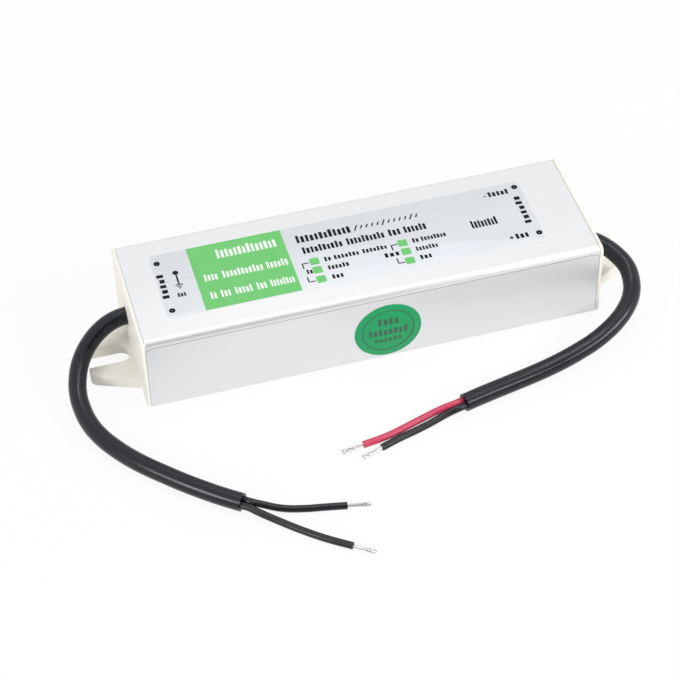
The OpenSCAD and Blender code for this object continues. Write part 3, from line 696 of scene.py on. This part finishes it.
def close_ink(ink, slot_name):
    """Turns all faces outwards and hands the piece over."""
    bpy.ops.mesh.select_all(action="SELECT")
    bpy.ops.mesh.normals_make_consistent(inside=False)
    start_clean()
    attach(ink, "root")
    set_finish(ink, slot_name)
    report(ink)


print("print tools ready")

# %% Black ink on the label
black_ink = open_ink("label_ink_black")
add_word(along_label, -12.4, 0.3, 4.9, 2.4, 6, strokes=2)
for i in range(12):
    add_bar(along_label, 1.5 + 1.28 * i, 6, 0.3, 1.9 if i % 5 == 0 else 1.2, lean=0.5)
for left, right, letters in ((-11.9, -2.6, 10), (-1.8, 7, 10), (7.8, 10.8, 3), (11.4, 16.7, 6)):
    add_word(along_label, left, right, 1.2, 2.1, letters)
for left, right, base, letters in (
    (-8, -6.3, -2.4, 2), (-5.8, 0.1, -2.4, 7), (0.7, 6.5, -2.4, 7), (-7.9, -3, -5.2, 6), (-7.8, -5, -8.2, 3),
    (12.2, 13.8, -2.3, 2), (14.2, 20.1, -2.3, 8), (12.2, 17.4, -5.1, 7), (12.3, 15.2, -7.9, 3),
    (-12.7, -11.2, -5.2, 2), (4.9, 8.6, -5.2, 3),
):
    add_word(along_label, left, right, base, 1.35, letters)
for bracket in (-12.9, 7.4):
    add_bar(along_label, bracket, -2.6, 0.28, 1.7)
    add_bar(along_label, bracket, -6.9, 0.28, 1.7)
    add_bar(along_label, bracket + 0.75, -1.8, 1.5, 0.28)
    add_bar(along_label, bracket + 0.75, -7.7, 1.5, 0.28)
add_word(along_label, 26.2, 32.4, -1.8, 2.5, 4, strokes=2)
add_word(along_label, 32.9, 37.9, 7, 1.6, 5)
add_word(along_label, 34.4, 37.7, -7.8, 1.6, 3)
add_bar(along_label, 32.2, 7.5, 0.6, 0.25)
add_bar(along_label, 33.6, -7.1, 0.9, 0.3)
add_bar(along_label, 33.6, -7.1, 0.3, 0.9)
add_word(up_label, -4, 4.2, 42.9, 1.5, 5)
add_word(up_label, -3.9, 5.7, -39.6, 1.5, 6)
add_word(along_label, -41.2, -39.2, -4, 1.3, 3)
add_bar(along_label, -40.1, 1.4, 0.35, 3)
for i, width in enumerate((1.7, 1.1, 0.5)):
    add_bar(along_label, -40.1, -0.2 - 0.55 * i, width, 0.25)
round_corners(along_label, 0.06)
# painted highlight: the small hole in each of these four dots lets the light film show through as a glint in
# its middle
for u, v in ((-43.4, 7.5), (-43.3, -7.6), (39.6, 8.6), (40, -7.2)):
    add_dot(along_label, u, v, 0.7, hole=0.1)
add_dot(along_label, -40.1, 3.6, 0.65)
close_ink(black_ink, "label_foil")

# %% Green and white ink on the label
low, high = node_box("rating_label")
PANEL, PANEL_MARGIN = (-36.3, -14.9), 0.1
green_ink = open_ink("label_ink_green")
for u in (-10.1, 10.05):
    for v in (-1.7, -4.5, -7.5):
        add_bar(along_label, u, v, 2.1, 2.1, thickness=INK / 2)
round_corners(along_label, 0.25)
add_bar(
    along_label, sum(PANEL) / 2, (low.y + high.y) / 2,
    PANEL[1] - PANEL[0], high.y - low.y - PANEL_MARGIN, thickness=INK / 2,
)
close_ink(green_ink, "label_foil")

white_ink = open_ink("label_ink_white")
add_word(along_label, -30.4, -16.6, 5.3, 2.9, 7, strokes=2)
for left, right, base, letters in (
    (-34.6, -31.4, -1, 4), (-30.5, -21.2, -1, 11), (-20.6, -15.6, -1, 6),
    (-34.5, -32.9, -6.7, 2), (-32.2, -29.8, -6.7, 3), (-29, -25, -6.7, 5), (-24.2, -21.8, -6.7, 3),
    (-21.1, -15.6, -6.7, 8),
):
    add_word(along_label, left, right, base, 2.2, letters)
round_corners(along_label, 0.06)
close_ink(white_ink, "label_foil")

# %% Dark ink on the sticker
dark_ink = open_ink("sticker_ink")
add_word(on_sticker, -2.5, 2.5, 1.6, 2.2, 2, strokes=2)
add_word(on_sticker, -4.6, 4.6, -1.4, 2, 4, strokes=2)
add_word(on_sticker, -3.2, 3.2, -3.4, 1.1, 6)
round_corners(on_sticker, 0.08)
add_dot(on_sticker, 0, 0, 6, hole=5.75, sides=96)
close_ink(dark_ink, "sticker_vinyl")

# %% [markdown]
# ## Materials
# A finish is a node tree on one shader. Wiring nodes by hand in code is long, so a small class stands for a
# socket and lets Python's signs do the arithmetic: noise * 0.2 + 0.3 adds two Math nodes. Every other node
# comes from one method. All patterns are placed by Object coordinates, so they stay on the piece.

# %% Sockets that can be added and multiplied
class Wire:
    """An output socket in a finish's node tree."""

    def __init__(self, finish, socket):
        self.finish = finish
        self.socket = socket

    def math(self, operation, first, second):
        """A Math node on two values or wires."""
        return self.finish.node("ShaderNodeMath", {"operation": operation}, {0: first, 1: second})

    def __add__(self, other):
        return self.math("ADD", self, other)

    def __radd__(self, other):
        return self.math("ADD", other, self)

    def __sub__(self, other):
        return self.math("SUBTRACT", self, other)

    def __rsub__(self, other):
        return self.math("SUBTRACT", other, self)

    def __mul__(self, other):
        return self.math("MULTIPLY", self, other)

    def __rmul__(self, other):
        return self.math("MULTIPLY", other, self)

    def __gt__(self, other):
        return self.math("GREATER_THAN", self, other)

    def __lt__(self, other):
        return self.math("LESS_THAN", self, other)

    def __abs__(self):
        return self.math("ABSOLUTE", self, 0)

    def __pow__(self, power):
        return self.math("POWER", self, power)

    def at_least(self, other):
        """The larger of the two."""
        return self.math("MAXIMUM", self, other)


def paint(red, green, blue):
    """A colour from 0 to 255 as a screen shows it, made linear for the shader."""
    linear = [x / 3294.6 if x <= 10.3 else ((x / 255 + 0.055) / 1.055) ** 2.4 for x in (red, green, blue)]
    return (*linear, 1)


class Finish:
    """A material on one Principled shader; constants are set on the shader's own sockets."""

    def __init__(self, name, **constants):
        self.material = bpy.data.materials.new(name)
        self.material.use_nodes = True
        self.tree = self.material.node_tree
        self.shader = self.tree.nodes["Principled BSDF"]
        for socket, value in constants.items():
            self.shader.inputs[socket.replace("_", " ")].default_value = value
        self.place = self.node("ShaderNodeTexCoord", output="Object")

    def node(self, kind, settings=None, sockets=None, output=0):
        """Adds a node: its settings first, then the values or links of its sockets."""
        node = self.tree.nodes.new(kind)
        for name, value in (settings or {}).items():
            setattr(node, name, value)
        for key, value in (sockets or {}).items():
            self.connect(node.inputs[key], value)
        return Wire(self, node.outputs[output])

    def connect(self, socket, value):
        """Links a wire to a socket, or sets the socket's own value."""
        if isinstance(value, Wire):
            self.tree.links.new(value.socket, socket)
        else:
            socket.default_value = value

    def feed(self, **sockets):
        """Feeds what changes over the surface into the shader."""
        for name, value in sockets.items():
            self.connect(self.shader.inputs[name.replace("_", " ")], value)

    def noise(self, stretch, detail=3, roughness=0.55):
        """Cloudy noise from 0 to 1, with so many blotches per metre along each axis."""
        spread = self.node("ShaderNodeMapping", sockets={"Vector": self.place, "Scale": stretch})
        sockets = {"Vector": spread, "Scale": 1, "Detail": detail, "Roughness": roughness}
        return self.node("ShaderNodeTexNoise", sockets=sockets)

    def waves(self, direction, scale, distortion):
        """Even bands that follow each other along one axis."""
        sockets = {"Vector": self.place, "Scale": scale, "Distortion": distortion}
        return self.node("ShaderNodeTexWave", {"bands_direction": direction}, sockets)

    def axis(self, index):
        """The place along X, Y or Z in millimetres."""
        return self.node("ShaderNodeSeparateXYZ", sockets={0: self.place}, output=index) * (1 / MM)

    def blend(self, share, first, second):
        """Two colours mixed by a share from 0 to 1."""
        return self.node("ShaderNodeMix", {"data_type": "RGBA"}, {0: share, 6: first, 7: second}, output=2)

    def bump(self, height, strength, depth):
        """A surface roughened by a height, at most so many millimetres deep."""
        sockets = {"Height": height, "Strength": strength, "Distance": depth * MM}
        return self.node("ShaderNodeBump", sockets=sockets)


finishes = {}
print("finishes can be made")

# %% [markdown]
# ## Aluminium and film
# An extruded tube carries fine lines along its length from the die, and clear anodising turns it satin. A
# noise that is stretched more than a hundredfold along X gives such lines, and it moves the colour, the
# roughness and a slight bump together, so that a line stays a line in every light. A fine dark line of
# painted shade also runs where each upright side meets its upper rounded edge, and curls down into the caps'
# seams; it stands for the shade of a tiny step there. The film is a smoother silver grey.

# %% Aluminium of the housing
aluminium = Finish("satin_extruded_aluminium", Metallic=0.6)
die_lines = aluminium.noise((12, 2600, 2600), detail=4)
broad_lines = aluminium.noise((4, 420, 420), detail=2)
clouds = aluminium.noise((40, 60, 60), detail=2)
drawn = 0.5 * die_lines + 0.3 * broad_lines + 0.2 * clouds
x, y, z = (aluminium.axis(i) for i in range(3))
CURL, LINE_REACH, STEP_SHADE_SHARE, SIDE_SKIN = 1.6, 0.13, 0.5, 0.05
past_end = (abs(x) - (HALF_LENGTH - CURL)).at_least(0)
past_side = (z - (HEIGHT - EDGE_RADIUS - CURL)).at_least(0)
from_curl = abs((past_end ** 2 + past_side ** 2) ** 0.5 - CURL)
# painted shade: a thin dark line below the upper rounding of each side, curling down beside the caps, stands
# for the shade of a tiny step
painted_step_shade = (from_curl < LINE_REACH) * (past_side > 0) * (abs(y) > HALF_WIDTH - SIDE_SKIN)
satin = aluminium.blend(drawn, paint(226, 227, 228), paint(235, 236, 237))
aluminium.feed(
    # the grey mixed in here is that painted shade line
    Base_Color=aluminium.blend(STEP_SHADE_SHARE * painted_step_shade, satin, paint(110, 112, 116)),
    Roughness=0.37 + 0.08 * drawn,
    Normal=aluminium.bump(die_lines, 0.1, 0.005),
)
finishes["housing_aluminium"] = aluminium

film = Finish("silver_label_film", Metallic=0.3, Specular_IOR_Level=0.3)
brushed = film.noise((30, 1200, 1200), detail=3)
mottle = film.noise((90, 90, 90), detail=3)
film.feed(
    Base_Color=film.blend(0.6 * brushed + 0.4 * mottle, paint(213, 217, 222), paint(230, 233, 238)),
    Roughness=0.36 + 0.14 * mottle,
    Normal=film.bump(brushed, 0.12, 0.006),
)
finishes["label_foil"] = film
print("aluminium and film")

# %% [markdown]
# ## Plastics
# The caps are a cream moulding with a fine, even grain, and the cables are soft black PVC with a dull sheen.
# They differ mainly in colour, sheen and the size of the grain, so one function makes them all: two noises
# change the colour and the sheen a little, and the finer one roughens the surface.

# %% Moulded plastics and coats
def moulded(name, dark, light, roughness, grain=2500, depth=0.012, blotch=130, **constants):
    """An even plastic or coat: slight clouds in its colour and sheen, and a fine grain."""
    finish = Finish(name, **constants)
    cloud = finish.noise((blotch, blotch, blotch), detail=4)
    fine = finish.noise((grain, grain, grain), detail=2)
    finish.feed(
        Base_Color=finish.blend(0.7 * cloud + 0.3 * fine, paint(*dark), paint(*light)),
        Roughness=roughness - 0.08 + 0.12 * cloud + 0.06 * fine,
        Normal=finish.bump(fine, 0.3, depth),
    )
    return finish


finishes["cap_plastic"] = moulded(
    "cream_cap_plastic", (246, 242, 231), (254, 251, 244), 0.46, grain=1800,
    Subsurface_Weight=0.08, Subsurface_Radius=(0.6, 0.45, 0.3), Subsurface_Scale=1 * MM,
)
finishes["cable_sheath"] = moulded(
    "black_pvc_sheath", (10, 14, 22), (18, 22, 31), 0.26,
    grain=1600, depth=0.001, blotch=300, Specular_IOR_Level=0.4,
)
finishes["core_black"] = moulded(
    "black_core_insulation", (20, 21, 26), (34, 35, 42), 0.3,
    grain=2200, depth=0.003, blotch=350, Specular_IOR_Level=0.4,
)
finishes["core_red"] = moulded(
    "red_core_insulation", (200, 46, 83), (218, 78, 113), 0.32, grain=2200, depth=0.003, blotch=350,
    Subsurface_Weight=0.1, Subsurface_Radius=(0.5, 0.2, 0.2), Subsurface_Scale=0.5 * MM,
)
finishes["sticker_vinyl"] = moulded(
    "green_sticker_vinyl", (14, 148, 87), (30, 166, 103), 0.4, blotch=200, Specular_IOR_Level=0.3
)
inks = {
    black_ink: moulded("black_print", (10, 11, 15), (24, 25, 31), 0.5, blotch=500, Specular_IOR_Level=0.12),
    green_ink: moulded("green_print", (99, 191, 101), (119, 207, 121), 0.45, blotch=200),
    white_ink: moulded("white_print", (232, 246, 232), (248, 254, 248), 0.45, blotch=300),
    dark_ink: moulded("sticker_print", (40, 82, 62), (60, 102, 80), 0.5, blotch=500),
}
print(len(finishes) + len(inks), "finishes so far")

# %% Tinned wire
tin = Finish("tinned_copper_strands", Metallic=1)
smear = tin.noise((700, 2600, 2600), detail=3)
tin.feed(
    Base_Color=tin.blend(smear, paint(178, 178, 178), paint(236, 236, 234)),
    Roughness=0.24 + 0.2 * smear,
    Normal=tin.bump(smear, 0.3, 0.01),
)
finishes["tinned_strands"] = tin
print("tin")

# %% [markdown]
# ## Parts inside
# Under the potting lies a board with its parts. Nobody sees them while the driver is whole, but they belong
# to it, so each still gets the finish of its kind. Most are one more moulded plastic or coat. The board shows
# its woven glass, the windings show their wire and the resistors show coloured rings.

# %% Finishes of the parts inside
for slot_name, dark, light, roughness in (
    ("insulating_film", (214, 216, 214), (236, 238, 236), 0.4),
    ("fuse_coat", (52, 96, 62), (78, 126, 86), 0.42),
    ("blue_coat", (38, 84, 168), (58, 108, 194), 0.38),
    ("film_box", (206, 168, 46), (226, 190, 70), 0.44),
    ("ferrite", (46, 46, 50), (70, 70, 74), 0.62),
    ("winding_tape", (206, 182, 92), (226, 204, 120), 0.36),
    ("black_mould", (26, 26, 28), (42, 42, 46), 0.55),
    ("white_mould", (214, 212, 206), (234, 232, 226), 0.5),
    ("capacitor_sleeve", (28, 52, 104), (44, 70, 128), 0.34),
    ("potting", (92, 94, 98), (118, 120, 124), 0.5),
):
    finishes[slot_name] = moulded(slot_name + "_finish", dark, light, roughness, grain=1600, blotch=220)

board = Finish("board_laminate_finish")
warp = board.noise((2200, 90, 90), detail=1)
weft = board.noise((90, 2200, 90), detail=1)
board.feed(
    Base_Color=board.blend(0.5 * warp + 0.5 * weft, paint(24, 84, 50), paint(62, 134, 86)),
    Roughness=0.3 + 0.2 * warp,
    Normal=board.bump(warp + weft, 0.2, 0.01),
)
finishes["board_laminate"] = board

winding = Finish("copper_winding_finish", Metallic=0.9)
turns = winding.waves("Z", 600, 0.6)
winding.feed(
    Base_Color=winding.blend(turns, paint(112, 54, 28), paint(206, 122, 76)),
    Roughness=0.24 + 0.16 * turns,
    Normal=winding.bump(turns, 0.6, 0.05),
)
finishes["copper_winding"] = winding

resistor = Finish("resistor_coat_finish")
rings = resistor.waves("Y", 260, 0)
grain = resistor.noise((1500, 1500, 1500))
resistor.feed(
    Base_Color=resistor.blend(rings > 0.82, paint(202, 172, 122), paint(116, 52, 36)),
    Roughness=0.36 + 0.14 * grain,
    Normal=resistor.bump(grain, 0.3, 0.01),
)
finishes["resistor_coat"] = resistor
print(len(finishes), "slots have a finish")

# %% Put every finish on
def dress(piece, finish):
    """Gives a piece one finish and no other."""
    piece.data.materials.clear()
    piece.data.materials.append(finish.material)


for part in frame["record"]["subparts"]:
    dress(frame["nodes"][part["node"]], finishes[part["material_slot"]])
for piece in sheaths + core_pieces + strands + [housing, cap, input_cap, label, sticker]:
    dress(piece, finishes[piece["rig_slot"]])
for ink, finish in inks.items():
    dress(ink, finish)

# %% [markdown]
# ## Floor and light
# The photograph was taken on white, with soft light from all round and hardly a shadow. The floor shines as
# white as the paper for the camera and for reflections, and keeps a share of plain white paint, on which the
# shadow falls. The world lights evenly. A strip lamp overhead and a soft box on each side draw the highlights
# along the cables, and a dark card in front draws the grey line along the rounded edge of the tube.

# %% Floor
FLOOR_SIZE, PAPER_SHARE = 6, 0.9
start_clean()
bpy.ops.mesh.primitive_plane_add(size=FLOOR_SIZE)
floor = bpy.context.object
floor.name = "floor"
paper = bpy.data.materials.new("white_paper")
paper.use_nodes = True
tree = paper.node_tree
tree.nodes.clear()


def seen_rays(tree):
    """1 for rays from the camera, from reflections and through glass, and 0 for the rest."""
    path = tree.nodes.new("ShaderNodeLightPath")
    total = path.outputs["Is Camera Ray"]
    for name in ("Is Glossy Ray", "Is Transmission Ray"):
        either = tree.nodes.new("ShaderNodeMath")
        either.operation = "MAXIMUM"
        tree.links.new(total, either.inputs[0])
        tree.links.new(path.outputs[name], either.inputs[1])
        total = either.outputs[0]
    return total


share = tree.nodes.new("ShaderNodeMath")
share.operation = "MULTIPLY"
share.inputs[1].default_value = PAPER_SHARE
tree.links.new(seen_rays(tree), share.inputs[0])
matt = tree.nodes.new("ShaderNodeBsdfDiffuse")
matt.inputs["Color"].default_value = (0.92, 0.92, 0.92, 1)
shine = tree.nodes.new("ShaderNodeEmission")
mix = tree.nodes.new("ShaderNodeMixShader")
tree.links.new(share.outputs[0], mix.inputs[0])
tree.links.new(matt.outputs[0], mix.inputs[1])
tree.links.new(shine.outputs[0], mix.inputs[2])
tree.links.new(mix.outputs[0], tree.nodes.new("ShaderNodeOutputMaterial").inputs["Surface"])
floor.data.materials.append(paper)
print("floor", FLOOR_SIZE, "m")

# %% World
SKY_LIGHT = 0.5
world = bpy.data.worlds.new("studio")
bpy.context.scene.world = world
world.use_nodes = True
tree = world.node_tree
tree.nodes.clear()
sky = tree.nodes.new("ShaderNodeBackground")
sky.inputs["Strength"].default_value = SKY_LIGHT
white = tree.nodes.new("ShaderNodeBackground")
for background in (sky, white):
    background.inputs["Color"].default_value = (1, 1, 1, 1)
mix = tree.nodes.new("ShaderNodeMixShader")
tree.links.new(seen_rays(tree), mix.inputs[0])
tree.links.new(sky.outputs[0], mix.inputs[1])
tree.links.new(white.outputs[0], mix.inputs[2])
tree.links.new(mix.outputs[0], tree.nodes.new("ShaderNodeOutputWorld").inputs["Surface"])

bpy.context.scene.view_settings.view_transform = "Standard"
print("sky", SKY_LIGHT)

# %% Lamps and card
CARD_PLACE, CARD_SIZE = (0, -1.1, 0.9), (3, 0.01, 1.56)
Lamp = namedtuple("Lamp", "place width height power")
for lamp in (
    Lamp(Vector((0.12, 0.1, 0.75)), 0.55, 0.04, 1.1),
    Lamp(Vector((-0.7, -0.37, 0.42)), 0.25, 0.24, 2.5),
    Lamp(Vector((0.6, -0.47, 0.42)), 0.55, 0.18, 3.6),
):
    bpy.ops.object.light_add(
        type="AREA", location=lamp.place, rotation=lamp.place.to_track_quat("Z", "Y").to_euler()
    )
    light = bpy.context.object.data
    light.shape = "RECTANGLE"
    light.size, light.size_y, light.energy = lamp.width, lamp.height, lamp.power

start_clean()
bpy.ops.mesh.primitive_cube_add(size=1, location=CARD_PLACE, scale=CARD_SIZE)
card = bpy.context.object
card.name = "dark_card"
card.visible_camera = card.visible_diffuse = card.visible_shadow = card.visible_transmission = False
black_card = bpy.data.materials.new("black_card")
black_card.use_nodes = True
card_shader = black_card.node_tree.nodes["Principled BSDF"]
card_shader.inputs["Base Color"].default_value = paint(14, 15, 17)
card_shader.inputs["Roughness"].default_value = 1
card.data.materials.append(black_card)
print("three lamps and a card")

# %% [markdown] ## Last step The scene is brought up to date.

# %% Update the scene
bpy.context.view_layer.update()
